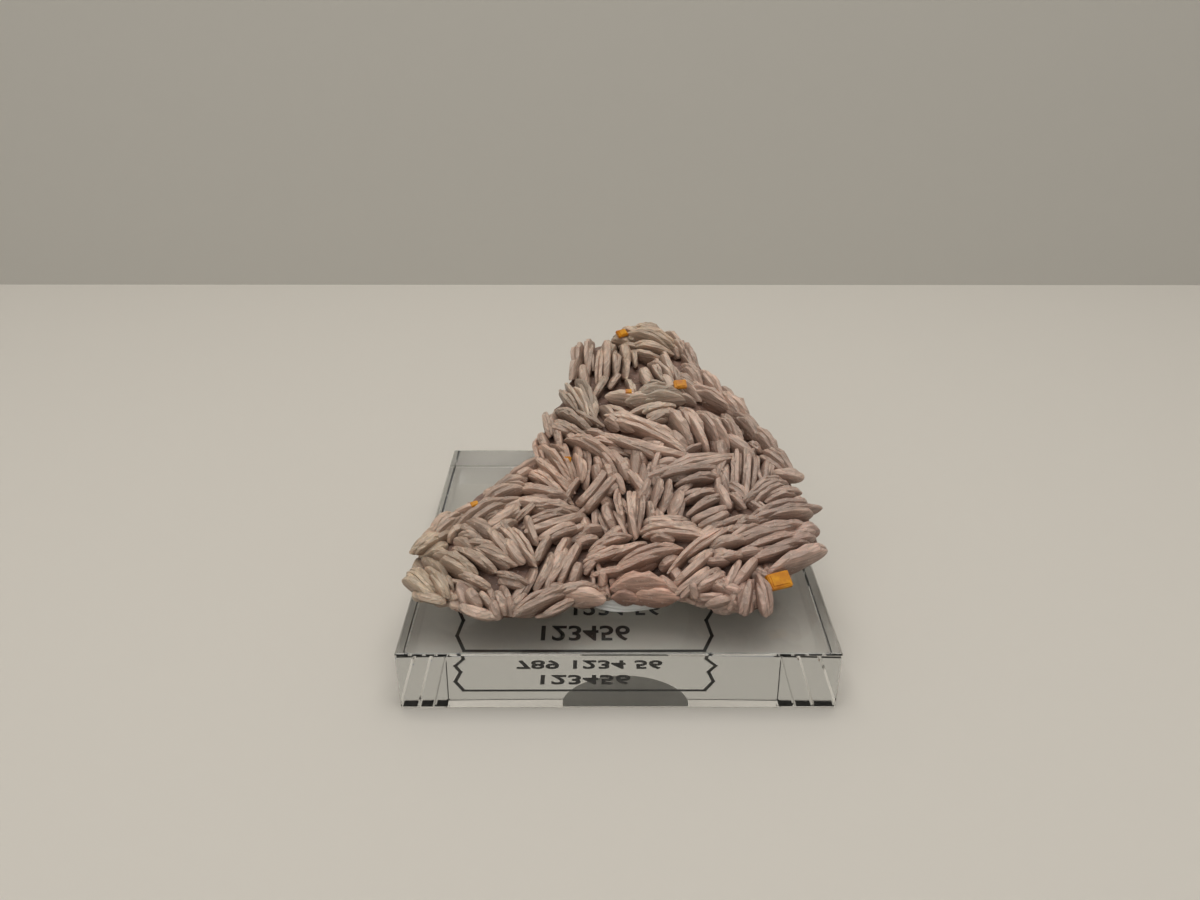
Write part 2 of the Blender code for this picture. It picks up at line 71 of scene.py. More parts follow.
# The cluster's face, and where it swells along the line of sight: u, v, reach and height in mm
FACE_TILT = math.radians(21.5)
FACE_FOOT = Vector((0.0, -21.9 * MM, 9.5 * MM))
FACE_U = Vector((1.0, 0.0, 0.0))
FACE_V = Vector((0.0, math.cos(FACE_TILT), math.sin(FACE_TILT)))
FACE_NORMAL = FACE_U.cross(FACE_V)
VIEWPOINT = Vector((-2.5, -110.2, 77.0)) * MM
SWELLS = (
    (-14.5, 9.5, 9.0, 1.6),
    (15.5, 12.0, 9.5, 1.8),
    (4.0, 34.0, 11.0, 2.2),
    (-2.5, 14.0, 4.5, -2.0),
)

# The cluster's outline on the face in mm, counter-clockwise from the right tip
OUTLINE = (
    (26.0, 11.0), (24.8, 16.4), (23.8, 21.6), (21.6, 27.4), (18.0, 34.2),
    (15.0, 39.8), (12.2, 46.0), (8.4, 50.4), (4.6, 52.7), (0.8, 50.0),
    (-4.8, 47.8), (-6.2, 41.8), (-9.0, 35.4), (-10.8, 28.8), (-13.2, 22.4),
    (-18.0, 19.2), (-23.6, 14.2), (-26.3, 7.8), (-25.4, 3.2), (-17.4, 0.4),
    (-10.4, 0.2), (-4.6, 2.4), (1.8, 2.9), (8.0, 3.0), (13.4, 0.8),
    (18.4, 1.2), (18.6, 5.4), (22.8, 8.4),
)

# The core that the blades grow from, in mm. Its floor is places along Y and their heights, its
# lumps are sizes and heights, and its spans are shares of the way out or up.
CORE_SEED = 4
CORE_MIDDLE = (0.5, 19.0)
CORE_INSET = 0.8
CORE_SINK = 2.0
CORE_LEAST = 1.6
CORE_FLOOR = ((-24.0, 10.6), (-16.0, 9.9), (3.0, 10.1), (32.0, 18.5))
CORE_LUMPS = ((4.0, 0.6), (1.4, 0.35), (0.5, 0.16))
CORE_AROUND = 190
CORE_RINGS = 34
CORE_SIDE_RINGS = 12
CORE_TOP_SPAN = (0.04, 0.97)
CORE_SIDE_SPAN = (0.9, 0.06)
CORE_UNDER_SPAN = (0.84, 0.04)
CORE_TUCK = 0.15
CORE_TINT = (0.26, 0.155, 0.115)
CLUSTER_LOWEST = 8.84 * MM

# One plate of a blade. The section runs round it, across and up, from its crest.
PLATE_STATIONS = 13
PLATE_SECTION = (
    (0.3, 1.0), (0.52, 0.93), (0.66, 0.7), (0.86, 0.2), (1.0, -0.4), (0.6, -0.95),
    (-0.6, -0.95), (-1.0, -0.4), (-0.84, 0.25), (-0.62, 0.72), (-0.44, 0.95),
)
PLATE_FULLNESS = 0.8
PLATE_WAVES = (3.1, 6.7, 11.3)
PLATE_WAVE_SIZE = (0.3, 1.0)
PLATE_WAVE_START = (0.0, 6.3)
PLATE_RAGGED = 0.085
PLATE_END_THICKNESS = 0.3
PLATE_FOOT_LENGTH = 0.93
PLATE_TIP_REACH = 0.502
PLATE_BEND = 0.05
PLATE_BEND_REST = 0.4
GRAIN_DRIFT = 200.0
CRYSTAL_EDGE = math.radians(28.0)

# A blade as a bundle of plates. Pairs are the spread of a random share.
PLATE_THICKNESS = 0.62
PLATE_OVERLAP = 1.9
PLATE_LENGTHS = (0.92, 1.14)
PLATE_HEIGHTS = (0.9, 1.05)
PLATE_THICKNESSES = (0.85, 1.2)
PLATE_BLUNTNESSES = (0.85, 1.25)
PLATE_SHADES = (0.86, 1.1)
PLATE_SPLAY = 0.07
PLATE_FAN = 0.12
PLATE_SLIDE = 0.08
PLATE_DROP = 0.07
PLATE_DROPS = (0.0, 1.6)
BLADE_SEED = 2
BLADE_TAPER = 0.16
BLADE_TAPER_POWER = 1.5
BLADE_SHADES = (0.76, 1.12)
BLADE_LIFT_MOST = 1.5 * MM
BLADE_BLUNTNESS = 1.8
BAR_BLUNTNESS = 9.0
BLADE_HEIGHT_SHARE = 0.54
BLADE_HEIGHT_LEAST = 2.6
BLADE_HEIGHT_MOST = 4.6
BLADE_SINK = 0.2
BLADE_LEAN_TO_RIGHT = 0.5

# The blades on the face. Each is its two ends in mm on the face (u, v, u, v), its thickness
# in mm, and its lean in degrees, positive where the crest leans up the slope or to the right.
# The bars are the two square-ended blades.
BARS = (
    (-4.7, 16.8, -1.6, 22.6, 0.85, 0),
    (-3.9, 16.3, -0.3, 21.8, 0.8, 0),
)
LEFT_LOBE = (
    (-12.6, 23.8, -5.5, 17.9, 1.3, 5),
    (-11.6, 25.9, -5.6, 19.0, 1.2, 10),
    (-10.6, 27.6, -5.2, 20.2, 1.2, 15),
    (-9.0, 28.2, -4.8, 20.8, 1.1, 20),
    (-7.6, 27.4, -5.6, 21.6, 1.1, 15),
    (-5.3, 26.4, -4.2, 21.0, 1.4, 25),
    *BARS,
    (-12.4, 20.3, -6.0, 18.4, 1.3, 15),
    (-12.2, 17.2, -4.0, 16.4, 1.5, 20),
    (-12.4, 14.3, -3.9, 15.6, 1.2, 15),
    (-11.4, 13.2, -4.4, 15.0, 0.9, 5),
    (-9.9, 12.3, -4.9, 14.2, 0.8, 0),
    (-8.6, 11.8, -4.6, 13.6, 0.6, 0),
    (-15.9, 14.3, -12.2, 17.1, 0.9, 5),
    (-19.6, 14.2, -13.0, 18.4, 1.8, 20),
    (-18.2, 17.0, -11.8, 20.3, 1.5, 25),
    (-16.4, 19.4, -11.4, 22.2, 1.4, 30),
    (-14.4, 14.2, -10.2, 8.2, 1.7, 15),
    (-16.5, 13.8, -12.6, 9.0, 1.3, 10),
    (-13.8, 12.0, -11.2, 8.0, 0.9, 5),
    (-17.6, 11.0, -11.6, 7.7, 1.3, 5),
    (-20.6, 11.2, -14.6, 7.2, 1.3, 5),
    (-15.0, 7.3, -10.7, 5.5, 1.0, 0),
    (-22.4, 9.9, -17.2, 6.6, 1.9, 20),
    (-19.4, 7.2, -15.2, 4.9, 1.2, 0),
    (-20.0, 13.0, -15.6, 11.2, 1.2, 15),
    (-10.2, 8.3, -8.1, 12.7, 1.2, -10),
    (-9.7, 4.2, -7.9, 10.2, 1.4, 10),
    (-8.7, 3.9, -6.3, 11.2, 1.3, 5),
    (-7.2, 5.6, -4.5, 11.6, 0.9, 5),
    (-5.5, 5.2, -4.6, 8.6, 0.7, 0),
    (-17.9, 4.7, -16.0, 2.1, 0.9, 0),
    (-16.5, 4.5, -14.4, 1.8, 1.0, 0),
    (-14.7, 4.8, -12.8, 0.9, 1.1, 5),
    (-12.6, 1.7, -10.9, 4.1, 1.0, 0),
    (-18.7, 2.2, -13.6, 0.7, 1.4, -15),
    (-12.1, 0.6, -5.6, 4.3, 1.6, 10),
    (-8.6, 3.8, -2.2, 5.0, 1.3, 10),
    (-9.6, 0.6, -4.6, 3.2, 1.1, -5),
    (-22.8, 7.6, -20.0, 3.6, 1.6, 20),
    (-25.6, 7.2, -21.2, 3.2, 2.2, 10),
    (-25.4, 9.6, -22.0, 12.8, 1.9, 10),
    (-22.8, 12.8, -19.8, 16.0, 1.7, 20),
    (-24.8, 4.4, -20.2, 2.9, 1.5, -20),
)
RIGHT_LOBE = (
    (2.2, 13.0, 11.6, 12.7, 1.9, 15),
    (-4.3, 8.6, 2.2, 10.8, 1.1, 5),
    (-1.3, 7.0, 8.0, 10.4, 1.7, 12),
    (-3.8, 10.1, 2.2, 12.8, 1.1, 10),
    (-3.6, 6.6, 1.6, 7.6, 1.0, 0),
    (-2.0, 4.9, 7.1, 4.5, 1.5, 38),
    (-1.8, 7.7, -1.8, 5.0, 0.6, 0),
    (0.2, 20.4, 0.8, 13.2, 1.0, -10),
    (1.9, 20.8, 2.2, 11.8, 1.3, 0),
    (-1.5, 17.6, -0.5, 13.4, 0.9, -15),
    (3.2, 19.6, 2.9, 12.6, 1.0, 10),
    (4.0, 18.6, 4.4, 14.8, 1.0, 15),
    (4.7, 16.0, 5.6, 22.2, 1.2, 20),
    (5.8, 15.8, 7.0, 21.6, 1.2, 25),
    (7.0, 15.7, 8.4, 19.6, 0.9, 20),
    (7.4, 20.6, 13.6, 22.2, 1.1, 5),
    (4.4, 21.9, 13.8, 23.6, 0.7, 0),
    (3.2, 20.8, 16.4, 25.6, 2.1, 20),
    (8.0, 17.6, 13.2, 20.0, 1.0, 10),
    (8.6, 15.9, 14.0, 18.7, 1.2, 10),
    (9.4, 14.6, 14.2, 17.2, 0.9, 0),
    (10.4, 13.8, 14.0, 16.0, 0.8, 0),
    (13.0, 20.6, 14.6, 16.6, 0.8, 10),
    (14.2, 19.6, 16.4, 16.9, 1.0, 10),
    (18.0, 28.4, 16.2, 17.9, 1.2, 0),
    (16.6, 27.6, 15.2, 19.4, 1.2, -10),
    (14.0, 23.8, 14.6, 18.9, 1.0, -10),
    (18.8, 26.2, 17.4, 19.2, 1.1, 10),
    (20.1, 25.2, 18.9, 19.9, 1.3, 20),
    (20.0, 22.7, 24.9, 22.2, 1.5, 15),
    (16.3, 17.8, 22.6, 21.2, 2.2, 25),
    (19.0, 18.6, 24.2, 19.4, 1.6, 20),
    (16.1, 14.9, 25.2, 16.4, 2.0, 20),
    (14.2, 11.7, 24.4, 14.4, 1.9, 12),
    (14.4, 10.3, 25.2, 13.4, 1.0, 0),
    (15.6, 8.9, 24.0, 11.6, 1.3, 5),
    (17.6, 7.2, 26.2, 10.8, 1.5, 10),
    (11.2, 10.8, 16.0, 12.2, 1.4, 15),
    (11.6, 9.2, 15.4, 9.6, 1.3, 10),
    (13.6, 4.7, 17.2, 9.6, 0.9, 0),
    (12.3, 4.0, 15.0, 8.8, 1.1, 0),
    (14.4, 0.9, 15.9, 6.4, 1.5, -5),
    (17.5, 0.8, 16.9, 6.8, 1.7, 5),
    (6.2, 7.6, 15.5, 14.9, 1.2, 5),
    (6.4, 4.9, 11.4, 9.8, 0.7, 0),
    (6.9, 4.1, 11.6, 8.2, 0.65, 0),
    (7.7, 4.0, 12.5, 7.8, 0.7, 0),
    (8.8, 4.2, 13.0, 7.0, 0.8, 5),
    (8.6, 6.0, 9.3, 3.2, 0.7, 0),
    (5.0, 6.4, 7.0, 4.2, 0.7, 0),
    (10.0, 2.4, 14.0, 3.6, 1.3, 0),
    (10.8, 5.6, 13.2, 4.4, 1.2, 15),
    (2.9, 26.8, 2.3, 22.0, 0.8, 0),
    (0.6, 25.2, 1.6, 21.6, 0.9, 0),
    (-2.8, 24.4, -2.2, 21.2, 0.8, 0),
    (-1.2, 24.0, -0.6, 21.4, 0.7, 0),
)
TOP_LOBE = (
    (-2.0, 33.6, 10.0, 26.7, 2.1, 15),
    (-2.0, 29.7, 8.2, 25.3, 0.9, 0),
    (-0.6, 28.4, 6.2, 25.4, 0.8, -5),
    (-6.9, 29.0, 0.5, 24.6, 1.8, 15),
    (-5.7, 41.4, -2.3, 30.8, 1.4, 15),
    (-7.1, 39.7, -3.1, 31.8, 1.1, 10),
    (-8.4, 38.5, -4.8, 33.6, 1.0, 5),
    (-8.3, 34.2, -2.4, 29.0, 1.4, 10),
    (-8.8, 32.6, -3.6, 28.6, 1.0, 0),
    (-9.8, 34.4, -8.8, 28.9, 1.3, -10),
    (-8.4, 30.6, -6.8, 25.4, 1.2, 0),
    (-10.4, 30.4, -9.2, 26.6, 1.3, -15),
    (-5.3, 41.4, -5.0, 48.2, 1.3, -20),
    (-3.8, 41.0, -3.4, 48.4, 1.4, -5),
    (-2.4, 39.4, -1.8, 47.4, 1.1, 0),
    (-1.2, 40.8, -1.2, 47.6, 0.9, 10),
    (-3.2, 36.4, -0.8, 41.4, 1.1, 10),
    (0.4, 40.4, 0.2, 46.4, 1.1, 10),
    (1.8, 40.2, 1.6, 44.8, 1.0, 15),
    (1.4, 50.4, 9.2, 46.2, 2.2, 30),
    (2.4, 47.6, 8.8, 45.4, 1.4, 10),
    (6.6, 45.6, 8.6, 40.8, 1.2, 20),
    (5.4, 43.6, 7.0, 40.2, 1.0, 10),
    (4.2, 42.2, 5.0, 39.4, 0.9, 0),
    (0.7, 35.6, 10.0, 36.6, 1.5, 42),
    (3.6, 33.9, 8.6, 35.4, 1.1, 10),
    (7.2, 35.0, 10.4, 27.2, 1.5, 20),
    (9.6, 35.0, 12.4, 26.7, 1.4, 15),
    (11.4, 34.0, 15.2, 27.0, 1.9, 30),
    (14.6, 33.4, 16.6, 28.6, 1.6, 25),
    (10.8, 38.6, 16.4, 34.2, 1.8, 30),
    (9.8, 43.6, 12.6, 38.4, 1.8, 30),
    (10.2, 47.4, 11.9, 41.6, 1.7, 20),
    (12.2, 42.2, 15.0, 36.4, 1.8, 30),
    (14.9, 37.8, 18.4, 32.0, 1.9, 30),
    (16.6, 33.6, 19.7, 28.6, 1.8, 30),
    (18.4, 31.0, 21.8, 25.4, 1.9, 25),
    (20.0, 27.2, 23.2, 22.4, 1.7, 20),
    (1.0, 51.2, 4.8, 49.6, 1.3, 10),
    (3.4, 51.8, 7.4, 50.2, 1.8, 10),
    (8.6, 48.8, 10.8, 45.2, 1.4, 20),
)

# Small blades between those on the face, in mm, radians of turn and degrees of lean
FACE_FILL_SEED = 11
FACE_FILL_COUNT = 330
FACE_FILL_U = (-26.0, 26.0)
FACE_FILL_V = (0.5, 52.0)
FACE_FILL_LENGTH = (2.6, 6.2)
FACE_FILL_THICKNESS = (0.5, 1.0)
FACE_FILL_SUNK = (0.4, 1.5)
FACE_FILL_TURN = 0.3
FACE_FILL_LEAN = 15.0

# Small blades round the rim, the sides and the underside, in mm or shares of the way out or up
SIDE_FILL_SEED = 5
SIDE_FILL_COUNT = 380
SIDE_FILL_LENGTH = (2.6, 4.6)
SIDE_FILL_THICKNESS = (0.6, 1.4)
SIDE_FILL_HEIGHT_SHARE = 0.6
SIDE_FILL_SEAT = 0.93
SIDE_FILL_UNDER_SEATS = (0.25, 0.8)
SIDE_FILL_RISES = (0.0, 0.0, 0.15, 0.3, 0.45, 0.6, 0.75, 0.9)
SIDE_FILL_DEPTH = 6.0
SIDE_FILL_DOWN = 1.2
SIDE_FILL_SWEEP = 0.9

# The tints of the cluster. A zone is u, v and reach in mm, and a colour. A plate has painted
# shade, darkest at its keel and in the crevices, and painted light towards its crest and its ends.
TINT = (0.66, 0.48, 0.385)
ZONE_PULL = 1.6
TINT_ZONES = (
    (-24.0, 8.0, 4.5, (0.62, 0.52, 0.35)),
    (-16.0, 12.0, 6.0, (0.58, 0.44, 0.34)),
    (-8.0, 24.0, 5.0, (0.66, 0.45, 0.34)),
    (2.0, 4.0, 4.0, (0.70, 0.40, 0.30)),
    (15.0, 4.0, 4.5, (0.66, 0.44, 0.36)),
    (23.0, 10.0, 5.0, (0.66, 0.46, 0.39)),
    (14.0, 20.0, 7.0, (0.56, 0.42, 0.35)),
    (5.0, 37.0, 4.0, (0.64, 0.54, 0.42)),
    (3.0, 49.0, 5.0, (0.58, 0.46, 0.32)),
    (-5.0, 36.0, 5.0, (0.60, 0.50, 0.39)),
)
# Painted shade: the deep brown that the keels and crevices are darkened towards
CREVICE_PAINTED_SHADE_TINT = (0.28, 0.13, 0.08)
CREVICE_PAINTED_SHADE_SHARE = 0.55
CREST_POWER = 1.3
KEEL_PAINTED_SHADE = 0.50
CREST_PAINTED_LIGHT_GAIN = 0.52
END_PAINTED_LIGHT_GAIN = 0.10
END_POWER = 3

# The wulfenite tablets: u, v and height above the face in mm, side and thickness in mm, and how
# far a tablet is turned about Z and tipped about X in degrees. A step is a share of the side
# and of the thickness.
WULFENITES = {
    "wulfenite_large": (19.3, 5.9, -0.6, 3.0, 0.9, 20, 30),
    "wulfenite_upper": (9.4, 39.3, 0.9, 1.8, 0.8, 10, 40),
    "wulfenite_small": (2.0, 37.9, 1.2, 0.9, 0.4, 0, 40),
    "wulfenite_left": (-18.1, 17.6, 1.2, 1.0, 0.5, 30, 30),
    "wulfenite_middle": (-6.4, 25.2, 0.7, 1.0, 0.5, -20, 60),
    "wulfenite_apex": (1.3, 50.2, 0.8, 1.7, 0.7, 35, 30),
}
WULFENITE_WIDTH_SHARE = 0.7
WULFENITE_UNEVEN = (0.92, 1.04)
WULFENITE_CHAMFER = 0.12
WULFENITE_STEPS = ((1.0, 0.72), (0.8, 1.0))

# The camera, the backdrop and the light. A lamp is its name, place, target, size, watts and tint.
CAMERA_PLACE = Vector((-2.47, -110.24, 77.05)) * MM
CAMERA_TURN = (math.radians(90.0 - 27.01), math.radians(-0.08), math.radians(-0.16))
CAMERA_LENS = 28.43
CAMERA_SENSOR = 36.0
CAMERA_NEAREST = 1.0 * MM
WALL_PLACE = 0.140
STAGE_REACH = 1.2
STAGE_DROP = 0.05 * MM
FLOOR_TINT = (0.70, 0.665, 0.605)
WALL_TINT = (0.62, 0.60, 0.55)
WORLD_TINT = (1.0, 0.985, 0.96)
WORLD_STRENGTH = 0.26
LAMPS = (
    ("overhead", (0.0, 0.02, 0.5), (0.0, 0.0, 0.0), 0.45, 1.75, (1.0, 0.98, 0.95)),
    ("front", (-0.25, -0.45, 0.4), (0.0, 0.0, 0.02), 0.35, 0.4, (1.0, 0.97, 0.93)),
)


def node_tree(name):
    made = bpy.data.materials.new(name)
    made.use_nodes = True
    tree = made.node_tree
    return made, tree, tree.nodes["Principled BSDF"]


def add_node(tree, kind, **inputs):
    """A new node with its named inputs set: a value, or an output socket to link."""
    node = tree.nodes.new(kind)
    for name, value in inputs.items():
        socket = node.inputs[name.replace("_", " ")]
        if isinstance(value, bpy.types.NodeSocket):
            tree.links.new(value, socket)
        else:
            socket.default_value = value
    return node


def ramp(tree, factor, *stops):
    """A colour ramp over factor, with two stops of place and grey or colour."""
    node = tree.nodes.new("ShaderNodeValToRGB")
    tree.links.new(factor, node.inputs["Fac"])
    for mark, (place, colour) in zip(node.color_ramp.elements, stops):
        mark.position = place
        mark.color = (*colour, 1.0) if isinstance(colour, tuple) else (colour, colour, colour, 1.0)
    return node.outputs["Color"]


def mix_colour(tree, mode, factor, first, second):
    """Two colours mixed by factor, through the mix node's colour sockets."""
    node = tree.nodes.new("ShaderNodeMix")
    node.data_type = "RGBA"
    node.blend_type = mode
    for number, value in ((0, factor), (6, first), (7, second)):
        socket = node.inputs[number]
        if isinstance(value, bpy.types.NodeSocket):
            tree.links.new(value, socket)
        else:
            socket.default_value = value
    return node.outputs[2]


def noise_output(tree, vector, scale, detail, roughness):
    """Grey noise over a vector, with this many features to a metre or to a unit of grain."""
    node = add_node(
        tree, "ShaderNodeTexNoise", Vector=vector, Scale=scale, Detail=detail, Roughness=roughness
    )
    return node.outputs["Fac"]


def barite_material():
    """Waxy pink-tan crystal: tinted plate by plate with painted shade and light, streaked along each,
    with frosted roughness and bumps, and painted glint specks.
    """
    made, tree, shader = node_tree("barite")
    tint = tree.nodes.new("ShaderNodeVertexColor")
    tint.layer_name = "tint"
    place = tree.nodes.new("ShaderNodeTexCoord").outputs["Object"]
    grain = tree.nodes.new("ShaderNodeUVMap")
    grain.uv_map = "grain"
    lengthwise = add_node(
        tree, "ShaderNodeMapping", Vector=grain.outputs["UV"], Scale=(0.4, 2.4, 1.0)
    ).outputs["Vector"]
    streak = noise_output(tree, lengthwise, 1.0, 4.0, 0.6)
    blotch = noise_output(tree, place, 420.0, 4.0, 0.6)
    # Fine noise for the frosted roughness and bumps, and the mask of the painted glint specks
    frost_and_glint_noise = noise_output(tree, place, 3200.0, 3.0, 0.6)
    colour = mix_colour(
        tree, "MULTIPLY", 1.0, tint.outputs["Color"], ramp(tree, blotch, (0.3, 0.84), (0.7, 1.12))
    )
    colour = mix_colour(
        tree, "MULTIPLY", 1.0, colour, ramp(tree, streak, (0.34, 0.66), (0.66, 1.2))
    )
    # Painted glints: pale specks mixed into the colour where the fine noise peaks
    painted_glint_specks = ramp(tree, frost_and_glint_noise, (0.62, 0.0), (0.70, 0.7))
    colour = mix_colour(tree, "MIX", painted_glint_specks, colour, (0.72, 0.62, 0.54, 1.0))
    tree.links.new(colour, shader.inputs["Base Color"])
    tree.links.new(ramp(tree, frost_and_glint_noise, (0.3, 0.34), (0.7, 0.58)), shader.inputs["Roughness"])
    shader.inputs["IOR"].default_value = 1.55
    shader.inputs["Subsurface Weight"].default_value = 0.2
    shader.inputs["Subsurface Radius"].default_value = (1.0, 0.45, 0.3)
    shader.inputs["Subsurface Scale"].default_value = 0.6 * MM
    fine = add_node(tree, "ShaderNodeBump", Height=frost_and_glint_noise, Strength=0.5, Distance=0.08 * MM)
    deep = add_node(
        tree, "ShaderNodeBump", Height=streak, Strength=1.0, Distance=0.2 * MM,
        Normal=fine.outputs["Normal"],
    )
    tree.links.new(deep.outputs["Normal"], shader.inputs["Normal"])
    return made


def acrylic_material():
    """Polished clear acrylic with a faint grey-green depth and faint smears."""
    made, tree, shader = node_tree("clear_acrylic")
    place = tree.nodes.new("ShaderNodeTexCoord").outputs["Object"]
    smears = noise_output(tree, place, 90.0, 4.0, 0.65)
    tree.links.new(ramp(tree, smears, (0.45, 0.0), (0.75, 0.035)), shader.inputs["Roughness"])
    shader.inputs["Base Color"].default_value = (0.985, 0.99, 0.985, 1.0)
    shader.inputs["IOR"].default_value = 1.49
    shader.inputs["Transmission Weight"].default_value = 1.0
    depth = tree.nodes.new("ShaderNodeVolumeAbsorption")
    depth.inputs["Color"].default_value = (0.72, 0.80, 0.74, 1.0)
    depth.inputs["Density"].default_value = 0.5
    tree.links.new(depth.outputs["Volume"], tree.nodes["Material Output"].inputs["Volume"])
    return made


def putty_material():
    made, tree, shader = node_tree("putty")
    place = tree.nodes.new("ShaderNodeTexCoord").outputs["Object"]
    lumps = noise_output(tree, place, 500.0, 4.0, 0.6)
    tree.links.new(
        ramp(tree, lumps, (0.3, (0.80, 0.80, 0.75)), (0.7, (0.90, 0.90, 0.87))),
        shader.inputs["Base Color"],
    )
    shader.inputs["Roughness"].default_value = 0.5
    bump = add_node(tree, "ShaderNodeBump", Height=lumps, Strength=0.4, Distance=0.15 * MM)
    tree.links.new(bump.outputs["Normal"], shader.inputs["Normal"])
    return made


def wulfenite_material():
    """Glassy orange, deeper in its hollows."""
    made, tree, shader = node_tree("wulfenite")
    place = tree.nodes.new("ShaderNodeTexCoord").outputs["Object"]
    depth = noise_output(tree, place, 900.0, 3.0, 0.5)
    tree.links.new(
        ramp(tree, depth, (0.35, (0.58, 0.18, 0.0)), (0.65, (0.82, 0.36, 0.0))),
        shader.inputs["Base Color"],
    )
    tree.links.new(ramp(tree, depth, (0.3, 0.3), (0.7, 0.5)), shader.inputs["Roughness"])
    shader.inputs["IOR"].default_value = 1.45
    shader.inputs["Transmission Weight"].default_value = 0.1
    bump = add_node(tree, "ShaderNodeBump", Height=depth, Strength=0.3, Distance=0.08 * MM)
    tree.links.new(bump.outputs["Normal"], shader.inputs["Normal"])
    return made


def ink_material():
    made, tree, shader = node_tree("label_ink")
    place = tree.nodes.new("ShaderNodeTexCoord").outputs["Object"]
    wear = noise_output(tree, place, 3000.0, 3.0, 0.6)
    tree.links.new(ramp(tree, wear, (0.3, 0.006), (0.75, 0.03)), shader.inputs["Base Color"])
    shader.inputs["Roughness"].default_value = 0.6
    return made


def card_material(name, tint):
    made, _, shader = node_tree(name)
    shader.inputs["Base Color"].default_value = (*tint, 1.0)
    shader.inputs["Roughness"].default_value = 0.85
    return made


def linked(name, mesh):
    made = bpy.data.objects.new(name, mesh)
    bpy.context.scene.collection.objects.link(made)
    return made


def from_bmesh(name, shape):
    mesh = bpy.data.meshes.new(name)
    shape.to_mesh(mesh)
    shape.free()
    return linked(name, mesh)


def piece(made, material, node):
    """Gives a piece its material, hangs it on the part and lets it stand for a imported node."""
    made.data.materials.append(material)
    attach(made, "root")
    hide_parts(node)


def swell(u, v):
    """Height of the face above its plane at u, v, in mm."""
    total = 0.0
    for centre_u, centre_v, reach, height in SWELLS:
        away = math.hypot(u - centre_u, v - centre_v) / reach
        total += height * math.exp(-away * away)
    return total


def face_point(u, v, height=0.0):
    """The point at u, v on the swollen face, in metres, raised along the line of sight."""
    flat = FACE_FOOT + (FACE_U * u + FACE_V * v) * MM
    sight = VIEWPOINT - flat
    return flat + sight * ((swell(u, v) + height) * MM / sight.dot(FACE_NORMAL))


def turned_out(along, out):
    """The direction nearest to out that is square to along."""
    return (out - along * out.dot(along)).normalized()


def grid_quads(rows, columns):
    """Quads of a grid whose columns close on themselves."""
    row, column = np.meshgrid(np.arange(rows - 1), np.arange(columns), indexing="ij")
    following = (column + 1) % columns
    first = row * columns
    return np.stack(
        (first + column, first + following, first + columns + following, first + columns + column),
        axis=-1,
    ).reshape(-1, 4)


class Cluster:
    """Gathers closed tubes of points, with their grain coordinates and tints, in one mesh."""

    def __init__(self):
        self.points = []
        self.faces = []
        self.grain = []
        self.tints = []
        self.count = 0

    def add(self, rings, columns, grain, tints):
        """Adds a tube of rings whose last two points close its ends."""
        rows = (len(rings) - 2) // columns
        last = (rows - 1) * columns
        here = np.arange(columns)
        there = (here + 1) % columns
        start = np.full(columns, rows * columns)
        quads = (grid_quads(rows, columns) + self.count).tolist()
        fans = np.stack((there, here, start), axis=-1) + self.count
        ends = np.stack((last + here, last + there, start + 1), axis=-1) + self.count
        self.faces += quads + fans.tolist() + ends.tolist()
        self.points.append(rings)
        self.grain.append(grain)
        self.tints.append(tints)
        self.count += len(rings)

    def make(self, name):
        mesh = bpy.data.meshes.new(name)
        mesh.from_pydata(np.concatenate(self.points).tolist(), [], self.faces)
        corners = np.empty(len(mesh.loops), dtype=np.int32)
        mesh.loops.foreach_get("vertex_index", corners)
        grain = mesh.uv_layers.new(name="grain")
        grain.data.foreach_set("uv", np.concatenate(self.grain)[corners].ravel())
        tint = mesh.color_attributes.new("tint", "FLOAT_COLOR", "POINT")
        tint.data.foreach_set("color", np.concatenate(self.tints).ravel())
        mesh.set_sharp_from_angle(angle=CRYSTAL_EDGE)
        return linked(name, mesh)


def zone_tint(u, v):
    """The cluster's colour at u, v."""
    total = np.array(TINT)
    weight = 1.0
    for centre_u, centre_v, reach, colour in TINT_ZONES:
        away = math.hypot(u - centre_u, v - centre_v) / reach
        pull = ZONE_PULL * math.exp(-away * away)
        total = total + pull * np.array(colour)
        weight += pull
    return total / weight


